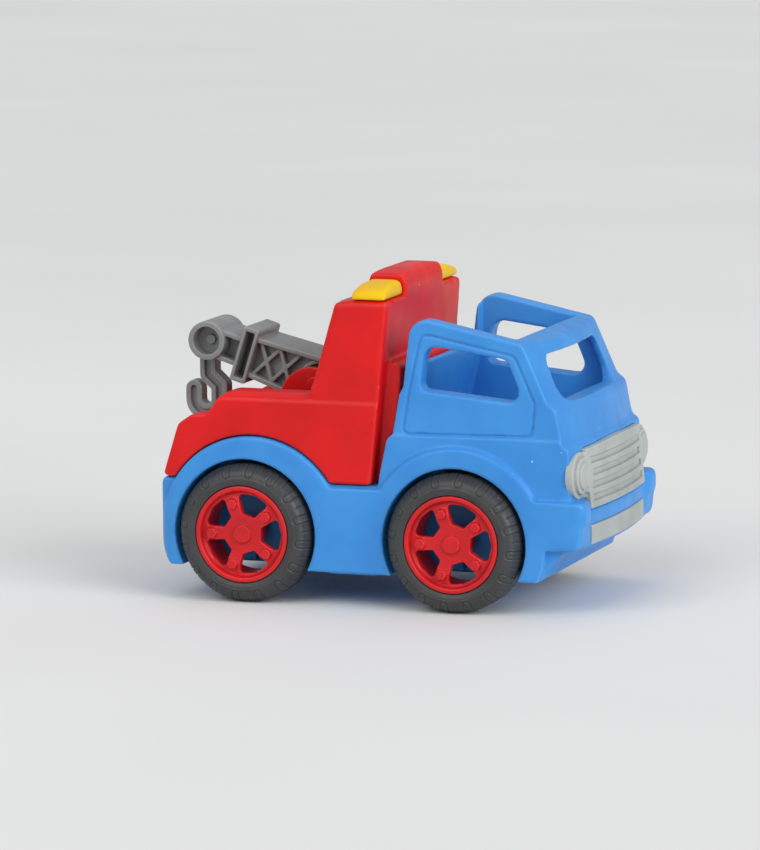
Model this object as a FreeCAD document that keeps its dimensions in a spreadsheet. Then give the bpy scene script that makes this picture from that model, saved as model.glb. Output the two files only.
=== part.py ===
import FreeCAD, Part
import math
import os

# Toy tow truck. +X is forwards, +Y the driver's left, +Z up, origin on the ground under the middle
# of the whole model. All lengths in millimetres.

SIZES = {
    "rear_axle_x": -62.6,
    "front_axle_x": 46.0,
    "tyre_radius": 34.5,
    "tyre_width": 25.0,
    "track_half": 66.0,
    "rim_radius": 24.0,
    "tyre_seat": 22.3,
    "axle_radius": 2.0,
    "axle_half": 59.0,
    "running_gap": 0.06,
    "arch_radius": 36.6,
    "rear_band_radius": 47.4,
    "rear_band_x": -59.1,
    "front_band_radius": 46.0,
    "front_band_x": 46.8,
    "band_z": 35.2,
    "cover_radius": 39.9,
    "well_half": 38.5,
    "body_half": 61.0,
    "panel_half": 57.5,
    "sill_proud": 0.8,
    "cabin_half": 47.5,
    "screen_half": 42.0,
    "red_half": 59.0,
    "bed_half": 43.0,
    "channel_half": 34.5,
    "bed_floor": 77.3,
    "channel_floor": 66.0,
    "base_bottom": 16.0,
    "base_thick": 3.0,
    "deck_top": 60.5,
    "sill_top": 59.3,
    "bumper_front": 113.4,
    "nose_bow": 330.0,
    "wall": 3.0,
    "arch_foot": 103.0,
    "arch_shoulder": 150.0,
    "arch_top_half": 56.0,
    "tunnel_half": 31.0,
    "pivot_x": -40.5,
    "pivot_z": 104.0,
    "boom_length": 62.0,
    "boom_angle": 17.5,
    "boom_pin_radius": 3.0,
    "hook_pin_radius": 2.3,
    "head_half": 15.0,
    "cheek_inside": 15.6,
    "cheek_thick": 4.0,
    "cheek_radius": 16.5,
    "hook_half": 3.9,
    "hook_stroke": 4.3,
    "grille_half": 43.5,
    "plate_half": 42.0,
    "lamp_radius": 11.5,
    "screw_radius": 1.5,
    "screw_head": 2.9,
}

SIDE = "XZ_Plane"
PLAN = "XY_Plane"
CROSS = "YZ_Plane"

doc = FreeCAD.newDocument("tow_truck")
sheet = doc.addObject("Spreadsheet::Sheet", "Sizes")
for row, (alias, value) in enumerate(SIZES.items(), start=1):
    sheet.set("A%d" % row, alias)
    sheet.set("B%d" % row, str(value))
    sheet.setAlias("B%d" % row, alias)
doc.recompute()


def size(alias):
    """The value of one cell of the sheet."""
    return float(sheet.get(alias))


def cells(words):
    """An expression in cell names, such as 'panel_half - wall', written as FreeCAD reads it."""
    for alias in sorted(SIZES, key=len, reverse=True):
        words = words.replace(alias, "<%s>" % alias.upper())
    for alias in SIZES:
        words = words.replace("<%s>" % alias.upper(), "Sizes." + alias)
    return words


def bind(thing, prop, words):
    """Bind a property of thing to an expression in cell names."""
    thing.setExpression(prop, cells(str(words)))


def edges(points):
    """Lines and arcs round a closed outline of (a, b) or (a, b, corner radius) points."""
    count = len(points)
    here = [FreeCAD.Vector(p[0], p[1], 0) for p in points]
    starts, ends, arcs = [], [], []
    for i in range(count):
        radius = points[i][2] if len(points[i]) > 2 else 0
        back = (here[i - 1] - here[i]).normalize()
        ahead = (here[(i + 1) % count] - here[i]).normalize()
        if not radius:
            starts.append(here[i])
            ends.append(here[i])
            arcs.append(None)
            continue
        half = back.getAngle(ahead) / 2
        reach = radius / math.tan(half)
        middle = (back + ahead).normalize() * (radius / math.sin(half) - radius)
        starts.append(here[i] + back * reach)
        ends.append(here[i] + ahead * reach)
        arcs.append(Part.Arc(starts[i], here[i] + middle, ends[i]))
    out = []
    for i in range(count):
        if arcs[i]:
            out.append(arcs[i])
        out.append(Part.LineSegment(ends[i], starts[(i + 1) % count]))
    return out


def pad(name, plane, outlines, length, centre="0"):
    """A body with one sketch on its own plane, padded evenly to both sides of centre."""
    body = doc.addObject("PartDesign::Body", name)
    sketch = body.newObject("Sketcher::SketchObject", name + "_sketch")
    face = [o for o in body.Origin.OriginFeatures if o.Role == plane][0]
    sketch.AttachmentSupport = [(face, "")]
    sketch.MapMode = "FlatFace"
    bind(sketch, "AttachmentOffset.Base.z", centre)
    for outline in outlines:
        for edge in edges(outline):
            sketch.addGeometry(edge)
    feature = body.newObject("PartDesign::Pad", name + "_pad")
    feature.Profile = sketch
    feature.SideType = "Symmetric"
    bind(feature, "Length", length)
    body.Tip = feature
    return body


def bowed(name, outline):
    """The nose's bow: a side outline turned a few degrees each way about an upright axis."""
    sketch = doc.addObject("Sketcher::SketchObject", name + "_sketch")
    sketch.Placement = FreeCAD.Placement(
        FreeCAD.Vector(0, 0, 0), FreeCAD.Rotation(FreeCAD.Vector(1, 0, 0), 90)
    )
    for edge in edges(outline):
        sketch.addGeometry(edge)
    turn = doc.addObject("Part::Revolution", name)
    turn.Source = sketch
    turn.Axis = FreeCAD.Vector(0, 0, 1)
    turn.Base = FreeCAD.Vector(size("bumper_front") - size("nose_bow"), 0, 0)
    turn.Angle = 30
    turn.Symmetric = True
    turn.Solid = True
    return turn


def box(name, x, y, z):
    """A box between pairs of expressions for its ends along X, Y and Z."""
    block = doc.addObject("Part::Box", name)
    for prop, axis, (low, high) in zip(("Length", "Width", "Height"), "xyz", (x, y, z)):
        bind(block, prop, "(%s) - (%s)" % (high, low))
        bind(block, "Placement.Base." + axis, low)
    return block


def rod(name, radius, x, z, y):
    """A cylinder along Y between a pair of expressions, about the line at x and z."""
    cylinder = doc.addObject("Part::Cylinder", name)
    bind(cylinder, "Radius", radius)
    bind(cylinder, "Height", "(%s) - (%s)" % (y[1], y[0]))
    cylinder.Placement.Rotation = FreeCAD.Rotation(FreeCAD.Vector(1, 0, 0), -90)
    bind(cylinder, "Placement.Base.x", x)
    bind(cylinder, "Placement.Base.y", y[0])
    bind(cylinder, "Placement.Base.z", z)
    return cylinder


def post(name, radius, x, y, z):
    """An upright cylinder between a pair of heights."""
    cylinder = doc.addObject("Part::Cylinder", name)
    bind(cylinder, "Radius", radius)
    bind(cylinder, "Height", "(%s) - (%s)" % (z[1], z[0]))
    bind(cylinder, "Placement.Base.x", x)
    bind(cylinder, "Placement.Base.y", y)
    bind(cylinder, "Placement.Base.z", z[0])
    return cylinder


def taper(name, z, low, high):
    """A block that narrows upwards: low and high are (x0, x1, half width) at its two heights."""
    wedge = doc.addObject("Part::Wedge", name)
    wedge.Placement.Rotation = FreeCAD.Rotation(FreeCAD.Vector(1, 0, 0), 90)
    bind(wedge, "Ymin", z[0])
    bind(wedge, "Ymax", z[1])
    bind(wedge, "Xmin", low[0])
    bind(wedge, "Xmax", low[1])
    bind(wedge, "Zmin", "-(%s)" % low[2])
    bind(wedge, "Zmax", low[2])
    bind(wedge, "X2min", high[0])
    bind(wedge, "X2max", high[1])
    bind(wedge, "Z2min", "-(%s)" % high[2])
    bind(wedge, "Z2max", high[2])
    return wedge


def fuse(name, *things):
    """One solid of all the things."""
    joined = doc.addObject("Part::MultiFuse", name)
    joined.Shapes = list(things)
    return joined


def group(name, things):
    """Separate solids kept together as one sub-part."""
    together = doc.addObject("Part::Compound", name)
    together.Links = list(things)
    return together


def cut(name, base, *tools):
    """The base without the tools."""
    less = doc.addObject("Part::Cut", name)
    less.Base = base
    less.Tool = tools[0] if len(tools) == 1 else fuse(name + "_tools", *tools)
    return less


def common(name, first, second):
    """What two things share."""
    shared = doc.addObject("Part::Common", name)
    shared.Base = first
    shared.Tool = second
    return shared


def both(half):
    """A symmetric span across the truck's middle plane."""
    return ("-(%s)" % half, half)


def pair(name, make, inner, outer):
    """The same thing on the right and on the left, between two distances from the middle."""
    right = make(name + "_right", ("-(%s)" % outer, "-(%s)" % inner))
    left = make(name + "_left", (inner, outer))
    return [right, left]


# ---------------------------------------------------------------- blue cab and underbody


def cab_outer():
    """The blue moulding before it is hollowed."""
    cab_side = [
        (3.3, 40), (5.4, 58), (11.1, 84), (13.8, 86.7), (17.3, 106.1), (19.4, 110),
        (23.7, 144.8, 9), (117.5, 125.2), (117.5, 40),
    ]
    tub_side = [
        (-104.5, 17, 3), (-109.2, 31, 5), (-109.2, 57, 5), (-105.5, size("deck_top"), 2),
        (117.5, size("deck_top")), (117.5, 32), (100.5, 32, 3), (88.5, 18), (86, 17, 1),
    ]
    skirt_side = [(5.1, 57), (10.9, 83.6), (13.6, 86.2), (117.5, 86.2), (117.5, 57)]
    nose = [
        (48, 10), (48, 150), (64, 150), (86.5, 131.7, 6), (98.1, 105, 3), (102.5, 101.6, 4),
        (105.8, 84.5, 2), (109.3, 82, 2), (110, 60), (110, 10),
    ]
    sides = fuse(
        "cab_sides",
        pad("cab_side", SIDE, [cab_side], "2 * panel_half"),
        pad("tub_side", SIDE, [tub_side], "2 * panel_half"),
        pad("skirt_side", SIDE, [skirt_side], "2 * (panel_half + sill_proud)"),
    )
    form = fuse(
        "nose_form",
        bowed("nose_bow_form", nose),
        box("behind_nose", ("-120", "50"), both("70"), ("10", "150")),
    )
    bodywork = common("cab_bodywork", sides, form)

    def over_axle(name, radius, x, z, keep):
        ring = rod(name + "_disc", radius, x, z, both("body_half"))
        inside = box(name + "_inside", ("-120", "120"), both(keep), ("deck_top", "100"))
        below = box(name + "_below", ("-120", "120"), both("70"), ("-20", "base_bottom + 1"))
        return cut(name, ring, inside, below)

    bands = [
        over_axle("band_rear", "rear_band_radius", "rear_band_x", "band_z", "body_half - 16"),
        over_axle("cover_rear", "cover_radius", "rear_axle_x", "tyre_radius", "well_half - wall"),
        over_axle("band_front", "front_band_radius", "front_band_x", "band_z", "body_half - 16"),
        over_axle("cover_front", "cover_radius", "front_axle_x", "tyre_radius", "well_half - wall"),
    ]
    sill = box("sill", ("-30", "14"), both("body_half"), ("base_bottom + 1", "sill_top"))
    whole = fuse("blue_solid", bodywork, sill, *bands)
    corner = size("body_half")
    plan = [
        (-109.2, -corner, 11), (107.5, -corner, 8), (113, -corner + 20), (116, 0),
        (113, corner - 20), (107.5, corner, 8), (-109.2, corner, 11),
    ]
    trimmed = common("blue_trimmed", whole, pad("plan_form", PLAN, [plan], "320", "90"))
    return fuse("blue_outer", trimmed, *bumper())


def bumper():
    """Bowed bar between two square ends that stand proud of it, undercut below their upper part."""
    half = size("body_half")
    bar = common(
        "bumper_bar",
        bowed("bumper_bow", [(84, 32), (100, 32, 2), (113.4, 32.5, 3), (113.4, 57, 3), (84, 57)]),
        box("bumper_span", ("60", "120"), both("body_half - 10"), ("20", "70")),
    )
    end_side = [
        (84, 33), (109, 33, 4), (110.6, 38), (111.4, 45.6), (112.8, 46.4, 0.8), (112.8, 57, 3),
        (84, 57),
    ]
    end_plan = [
        (84, -half), (113, -half, 4.5), (113, -49.5, 2), (109.8, -45), (109.8, 45), (113, 49.5, 2),
        (113, half, 4.5), (84, half),
    ]
    ends = common(
        "bumper_ends",
        pad("bumper_end_side", SIDE, [end_side], "2 * body_half"),
        pad("bumper_end_plan", PLAN, [end_plan], "60", "50"),
    )
    return [bar, ends]


def cabin_tools():
    """Cabin, windows, windscreen and the open top."""
    room = [
        (12, 64, 2), (16.7, 86), (22.0, 108), (24.2, 119.8), (24.2, 170), (74, 170), (74, 127.5),
        (82, 126.5), (91, 104), (94.5, 97), (97.5, 84), (97.5, 64, 2),
    ]
    cabin = pad("cabin_room", SIDE, [room], "2 * cabin_half")
    humps = cut(
        "cabin_humps",
        rod("cabin_hump_disc", "cover_radius", "front_axle_x", "tyre_radius", both("body_half")),
        box("cabin_hump_middle", ("0", "100"), both("well_half - wall"), ("0", "100")),
    )
    open_rear = box("cabin_back", ("10", "30"), both("cabin_half - 3"), ("119.8", "170"))
    window = [(28.2, 108.8, 3), (30.9, 130.5, 6), (72.5, 125, 5), (81, 103.9, 5)]
    glass = pad("window_tool", SIDE, [window], "150")
    half = size("screen_half")
    screen = [(-half, 103.2, 9), (half, 103.2, 9), (half - 2, 125.8, 6), (-half + 2, 125.8, 6)]
    front = pad("screen_tool", CROSS, [screen], "40", "98")
    return [cut("cabin_tool", cabin, humps), open_rear, glass, front]


def groove_tool(name, outline, width, half, depth):
    """A narrow groove round an outline on both of the cab's side faces."""
    outer = Part.Wire([edge.toShape() for edge in edges(outline)])
    inner = outer.makeOffset2D(-width)
    ring = Part.Face(outer).cut(Part.Face(inner))
    ring.rotate(FreeCAD.Vector(0, 0, 0), FreeCAD.Vector(1, 0, 0), 90)
    cuts = []
    for side in (-1, 1):
        face = ring.copy()
        face.translate(FreeCAD.Vector(0, side * (half - depth), 0))
        cuts.append(face.extrude(FreeCAD.Vector(0, side * 10, 0)))
    tool = doc.addObject("Part::Feature", name)
    tool.Shape = Part.makeCompound(cuts)
    return tool


def grille_front(name, extra):
    """The grille's outline seen from the front, its top edge a little higher in the middle."""
    half, low, high = size("grille_half") + extra, 52.2 - extra, 81.2 + extra
    outline = [(-half, low), (half, low), (half, high), (0, high + 1.6, 300), (-half, high)]
    return pad(name, CROSS, [outline], "40", "110")


def make_cab_body():
    """Blue cab, wing bands, sills, nose and bumper in one moulding, open underneath."""
    wells = []
    for end in ("rear", "front"):
        wells += pair(
            "well_" + end,
            lambda name, span, end=end: rod(name, "arch_radius", end + "_axle_x", "tyre_radius", span),
            "well_half",
            "80",
        )
    ceiling = "deck_top - wall"
    top = size("deck_top") - size("wall")
    middle = [
        (-106, 10), (81, 10), (81, 16), (97, 34.5), (102, 36), (102, top), (-106, top),
    ]
    nose = [(86.1, 23), (97, 35.5), (102, 37), (102, top), (86.1, top)]
    hollows = [
        pad("hollow_middle", SIDE, [middle], "2 * (well_half - wall)"),
        pad("hollow_nose", SIDE, [nose], "2 * (panel_half - 4.5)"),
        box("hollow_sills", ("-21.4", "5.9"), both("panel_half"), ("0", ceiling)),
    ]
    for end in ("rear", "front"):
        axle = end + "_axle_x"
        room = "axle_radius + 0.6"
        hollows += [
            rod("axle_gap_" + end, room, axle, "tyre_radius", both("45")),
            box(
                "axle_slot_" + end,
                (axle + " - (%s)" % room, axle + " + (%s)" % room),
                both("45"),
                ("0", "tyre_radius"),
            ),
        ]
    door = [
        (18.9, 86.9, 3.5), (22.7, 108.5, 2), (28.9, 136.5, 5), (76.8, 126.9, 4), (86.8, 104, 4),
        (85.3, 87.9, 4),
    ]
    groove = groove_tool("door_groove", door, 1.1, size("panel_half"), 0.8)
    grille_seat = common(
        "grille_seat",
        bowed("grille_bed", [(107.3, 45), (130, 45), (130, 90), (107.3, 90)]),
        grille_front("grille_span", 0.3),
    )
    strip_bed = bowed("strip_bed", [(111.9, 34.2), (130, 34.2), (130, 44.1), (111.9, 44.1)])
    strip_seat = common(
        "strip_seat",
        strip_bed,
        box("strip_span", ("90", "130"), both("plate_half + 0.2"), ("30", "50")),
    )
    hollowed = cut(
        "blue_hollowed", cab_outer(), *wells, *hollows, *cabin_tools(), groove, grille_seat,
        strip_seat
    )
    bosses, holes = [], []
    for i, (x, y) in enumerate(BASE_SCREWS):
        bosses.append(post("boss_%d" % i, 4, x, y, ("base_bottom + base_thick", ceiling + " + 1")))
        holes.append(
            post("boss_hole_%d" % i, "screw_radius", x, y, ("base_bottom + base_thick", "36"))
        )
    for i, (x, y) in enumerate(BODY_SCREWS):
        holes.append(post("deck_hole_%d" % i, "screw_radius", x, y, (ceiling + " - 2", "deck_top + 2")))
    return cut("cab_body", fuse("blue_bossed", hollowed, *bosses), *holes)


BASE_SCREWS = [(x, y) for x in (-98, -8, 74) for y in (-27, 27)]
BODY_SCREWS = [(x, y) for x in (-92, -18) for y in (-28, 28)]
BRACKET_SCREWS = [(-52, 0), (-31, 0)]


def make_base_plate():
    """Flat plate that closes the underside and carries the axle bearings."""
    half = size("well_half") - size("wall") - 0.3
    wide = size("panel_half") - 0.3
    outline = [
        (-105.6, -half, 3), (-21.1, -half), (-21.1, -wide, 2), (5.6, -wide, 2), (5.6, -half),
        (80.6, -half, 3), (80.6, half, 3), (5.6, half), (5.6, wide, 2), (-21.1, wide, 2),
        (-21.1, half), (-105.6, half, 3),
    ]
    middle = "base_bottom + base_thick / 2"
    plate = pad("base_sheet", PLAN, [outline], "base_thick", middle)
    parts, bores = [plate], []
    for end in ("rear", "front"):
        axle = end + "_axle_x"
        for name, span in (("right", ("-34", "-25")), ("left", ("25", "34"))):
            upright = box(
                "bearing_%s_%s" % (end, name),
                (axle + " - 7", axle + " + 7"),
                span,
                ("base_bottom + 1", "tyre_radius"),
            )
            crown = rod("bearing_top_%s_%s" % (end, name), "7", axle, "tyre_radius", span)
            parts += [upright, crown]
        bores.append(
            rod("bore_" + end, "axle_radius + running_gap", axle, "tyre_radius", ("-60", "60"))
        )
    for i, (x, y) in enumerate(BASE_SCREWS):
        bores.append(post("base_hole_%d" % i, "screw_radius", x, y, ("0", "36")))
        bores.append(post("base_sink_%d" % i, "screw_head", x, y, ("0", "base_bottom + 1.5")))
    return cut("base_plate", fuse("base_solid", *parts), *bores)


def screw(name, x, y, head_z, tip_z):
    """A pan-head screw driven upwards, with a cross recess in its head."""
    head = post(name + "_head", "screw_head", x, y, (head_z, "(%s) + 1.5" % head_z))
    shank = post(name + "_shank", "screw_radius", x, y, ("(%s) + 1" % head_z, tip_z))
    slots = [
        box(name + "_slot_x", ("%s - 1.7" % x, "%s + 1.7" % x), ("%s - 0.4" % y, "%s + 0.4" % y),
            ("(%s) - 1" % head_z, "(%s) + 0.9" % head_z)),
        box(name + "_slot_y", ("%s - 0.4" % x, "%s + 0.4" % x), ("%s - 1.7" % y, "%s + 1.7" % y),
            ("(%s) - 1" % head_z, "(%s) + 0.9" % head_z)),
    ]
    return cut(name, fuse(name + "_blank", head, shank), *slots)


def make_screws(name, places, head_z, tip_z):
    """A group of identical screws."""
    return group(name, [screw("%s_%d" % (name, i), x, y, head_z, tip_z) for i, (x, y) in enumerate(places)])


# ---------------------------------------------------------------- red rear body


def make_rear_body():
    """Red bed with its rails and tail, and the hollow arch that carries the lights."""
    rail_side = [
        (-104.6, 60.7, 0.8), (-105.9, 62.5, 1), (-98.1, 87.2, 4), (-90.8, 92.2, 5),
        (-82.6, 92.6, 3), (-74.5, 104.6, 12), (7.3, 104.6), (2.6, 60.7, 2),
    ]
    rail_cross = [
        (-59, 50), (-59, 101.5, 4), (-54, 104.2, 6), (-40, 104.6), (40, 104.6), (54, 104.2, 6),
        (59, 101.5, 4), (59, 50),
    ]
    step_side = [
        (0, 61.2), (5.0, 61.2), (10.3, 84.2), (12.6, 86.9), (15.4, 106.3), (16.1, 118.5, 2),
        (13.7, 121, 2), (3, 121),
    ]
    tower = taper(
        "arch_tower",
        ("arch_foot", "arch_shoulder"),
        ("-29.5", "7.1", "red_half - 0.8"),
        ("-16.5", "11.3", "arch_top_half"),
    )
    crown_cross = [
        (-56, 149.8), (-55.4, 151.5, 1), (-29, 161.1), (-14, 163, 30), (14, 163, 30), (29, 161.1),
        (55.4, 151.5, 1), (56, 149.8),
    ]
    crown_side = [
        (-11.5, 149.8), (-8.9, 157, 4), (-7, 161.6, 3), (-2, 163.6, 6), (5, 163.6, 6),
        (9.5, 161.2, 4), (11.4, 156, 4), (11.3, 149.8),
    ]
    crown = common(
        "arch_crown",
        pad("crown_cross", CROSS, [crown_cross], "40", "0"),
        pad("crown_side", SIDE, [crown_side], "130"),
    )
    solid = fuse(
        "red_solid",
        common(
            "rails",
            pad("rail_side", SIDE, [rail_side], "2 * red_half"),
            pad("rail_cross", CROSS, [rail_cross], "130", "-49"),
        ),
        pad("step_side", SIDE, [step_side], "100"),
        tower,
        crown,
    )
    arches = pair(
        "red_arch",
        lambda name, span: rod(name, "rear_band_radius + 0.4", "rear_band_x", "band_z", span),
        "body_half - 16.5",
        "70",
    )
    arches += pair(
        "red_well",
        lambda name, span: rod(name, "cover_radius + 0.4", "rear_axle_x", "tyre_radius", span),
        "well_half - wall - 0.5",
        "50",
    )
    bed = box("bed_room", ("-120", "-24"), both("bed_half"), ("bed_floor", "150"))
    behind = box("bed_end", ("-30", "-20"), both("60"), ("bed_floor - 1", "170"))
    bed_open = cut("bed_open", bed, behind)
    channel = box("channel_room", ("-120", "-4"), both("channel_half"), ("channel_floor", "100"))
    tunnel_cross = [
        (-31, 99), (31, 99), (31, 141, 12), (-31, 141, 12),
    ]
    tunnel = pad("tunnel_tool", CROSS, [tunnel_cross], "46", "-27")
    legs = taper("leg_hollow", ("60", "141"), ("-26", "1.5", "55"), ("-15.5", "7", "52"))
    core = box("leg_core", ("-60", "40"), both("tunnel_half + wall + 0.5"), ("50", "170"))
    leg_hollows = cut("leg_hollows", legs, core)
    rail_hollows = pair(
        "rail_hollow",
        lambda name, span: box(name, ("-72", "-29"), span, ("60", "101")),
        "bed_half + wall",
        "red_half - wall",
    )
    step_room = [(-1, 60), (1.5, 60), (7, 84), (13.4, 106.8), (14, 117.5), (3, 117.5), (-1, 104)]
    step_hollow = pad("step_hollow", SIDE, [step_room], "2 * (tunnel_half - 1)")
    beds = pair(
        "beacon_seat",
        lambda name, span: box(name, ("-20", "20"), span, ("151", "170")),
        "27.7",
        "60",
    )
    holes = []
    for i, (x, y) in enumerate(BODY_SCREWS):
        holes.append(post("red_hole_%d" % i, "screw_radius", x, y, ("59", "65")))
    for i, (x, y) in enumerate(BRACKET_SCREWS):
        holes.append(post("red_bracket_hole_%d" % i, "screw_radius", x, y, ("59", "67")))
        holes.append(post("red_bracket_sink_%d" % i, "screw_head", x, y, ("59", "63.5")))
    return cut(
        "rear_body", solid, *arches, bed_open, channel, tunnel, leg_hollows, *rail_hollows,
        step_hollow, *beds, *holes
    )


def make_boom_bracket():
    """Foot and two round cheeks that hold the boom's pin."""
    low = "channel_floor"
    foot = box("bracket_foot", ("-61", "-25"), both("cheek_inside + cheek_thick"), (low, low + " + 3"))
    walls = pair(
        "cheek_wall",
        lambda name, span: box(name, ("-58.8", "-25.8"), span, (low, "95.6")),
        "cheek_inside",
        "cheek_inside + cheek_thick",
    )
    rounds = pair(
        "cheek_round",
        lambda name, span: rod(name, "cheek_radius", "-42.3", "95.6", span),
        "cheek_inside",
        "cheek_inside + cheek_thick",
    )
    bore = rod("cheek_bore", "boom_pin_radius", "pivot_x", "pivot_z", both("30"))
    holes = [
        post("bracket_hole_%d" % i, "screw_radius", x, y, ("60", "80"))
        for i, (x, y) in enumerate(BRACKET_SCREWS)
    ]
    return cut("boom_bracket", fuse("bracket_solid", foot, *walls, *rounds), bore, *holes)


def make_beacon(name, side):
    """One yellow light: flat base, crowned top that falls to the arch's shoulder, raked rear."""
    cross = [
        (side * 28.0, 151.2), (side * 28.3, 159.2, 2), (side * 43.5, 158.2, 7),
        (side * 54.2, 155.4, 2.5), (side * 55.4, 151.2),
    ]
    along = [(-8.6, 151), (-7.2, 159.4, 3.5), (8.8, 159.4, 3.5), (9.9, 155), (9.9, 151)]
    return common(
        name,
        pad(name + "_cross", CROSS, [cross], "30"),
        pad(name + "_side", SIDE, [along], "130"),
    )


# ---------------------------------------------------------------- nose trim


def make_grille():
    """Bowed frame with louvres, leaning back, and a stepped round headlight at each end."""
    half = size("grille_half")
    recess = 1.4

    def face_x(height):
        return 114.3 - 0.0966 * (height - 52.2)

    block = common(
        "grille_block",
        bowed("grille_bow", [(107.5, 45), (face_x(45), 45), (face_x(90), 90), (107.5, 90)]),
        grille_front("grille_ends", 0),
    )
    top, bottom, slats = 77.0, 55.4, 3
    slat = 2.7
    opening = (top - bottom - slats * slat) / (slats + 1)
    slots = []
    for i in range(slats + 1):
        low = bottom + i * (opening + slat)
        high = low + opening
        floor = [(face_x(low) - recess, low), (face_x(high) - recess, high)]
        slots.append(
            common(
                "louvre_%d" % i,
                bowed("louvre_bow_%d" % i, [floor[0], (130, low), (130, high), floor[1]]),
                box("louvre_span_%d" % i, ("90", "130"), both("grille_half - 3.4"), ("40", "90")),
            )
        )
    face = cut("grille_face", block, *slots)
    lamps = []
    for side in (-1, 1):
        for step, (radius, front) in enumerate(
            (("lamp_radius", 108.7), ("lamp_radius - 2.6", 110.4), ("lamp_radius - 5", 111.4))
        ):
            lamp = doc.addObject("Part::Cylinder", "lamp_%d_%d" % (side + 1, step))
            bind(lamp, "Radius", radius)
            lamp.Height = front - 104
            lamp.Placement = FreeCAD.Placement(
                FreeCAD.Vector(104, side * (half + 3.5), 68.8),
                FreeCAD.Rotation(FreeCAD.Vector(0, 1, 0), 90),
            )
            lamps.append(lamp)
    body_side = bowed(
        "lamp_back", [(60, 40), (110.1, 40), (110.1, 60), (109.45, 82), (106, 86), (60, 86)]
    )
    proud = cut("lamps_proud", fuse("lamps", *lamps), body_side)
    return fuse("grille", face, proud)


def make_bumper_plate():
    """Plain bowed strip let into the bumper."""
    return common(
        "bumper_plate",
        bowed("strip_bow", [(112.0, 34.4), (113.7, 34.4, 0.6), (113.7, 43.9, 0.6), (112.0, 43.9)]),
        box("strip_ends", ("90", "130"), both("plate_half"), ("30", "50")),
    )


# ---------------------------------------------------------------- boom and hook

HEAD_X = -size("boom_length")
COLLAR = (HEAD_X + 17.2, HEAD_X + 25.6)


def lattice():
    """The crossed ribs of the beam, as flat bars across its window."""
    bars = []
    panels = [(COLLAR[1], COLLAR[1] + 13.5), (COLLAR[1] + 10.5, COLLAR[1] + 24)]
    for i, (start, stop) in enumerate(panels):
        for j, lean in enumerate((-1, 1)):
            middle = (start + stop) / 2
            length = math.hypot(stop - start, 22)
            bar = doc.addObject("Part::Box", "rib_%d_%d" % (i, j))
            bar.Length = length
            bar.Width = 24
            bar.Height = 1.9
            turn = FreeCAD.Rotation(
                FreeCAD.Vector(0, 1, 0), lean * math.degrees(math.atan2(22, stop - start))
            )
            centre = FreeCAD.Vector(length / 2, 12, 0.95)
            bar.Placement = FreeCAD.Placement(
                FreeCAD.Vector(middle, 0, 0) - turn.multVec(centre), turn
            )
            bars.append(bar)
    return bars


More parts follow.
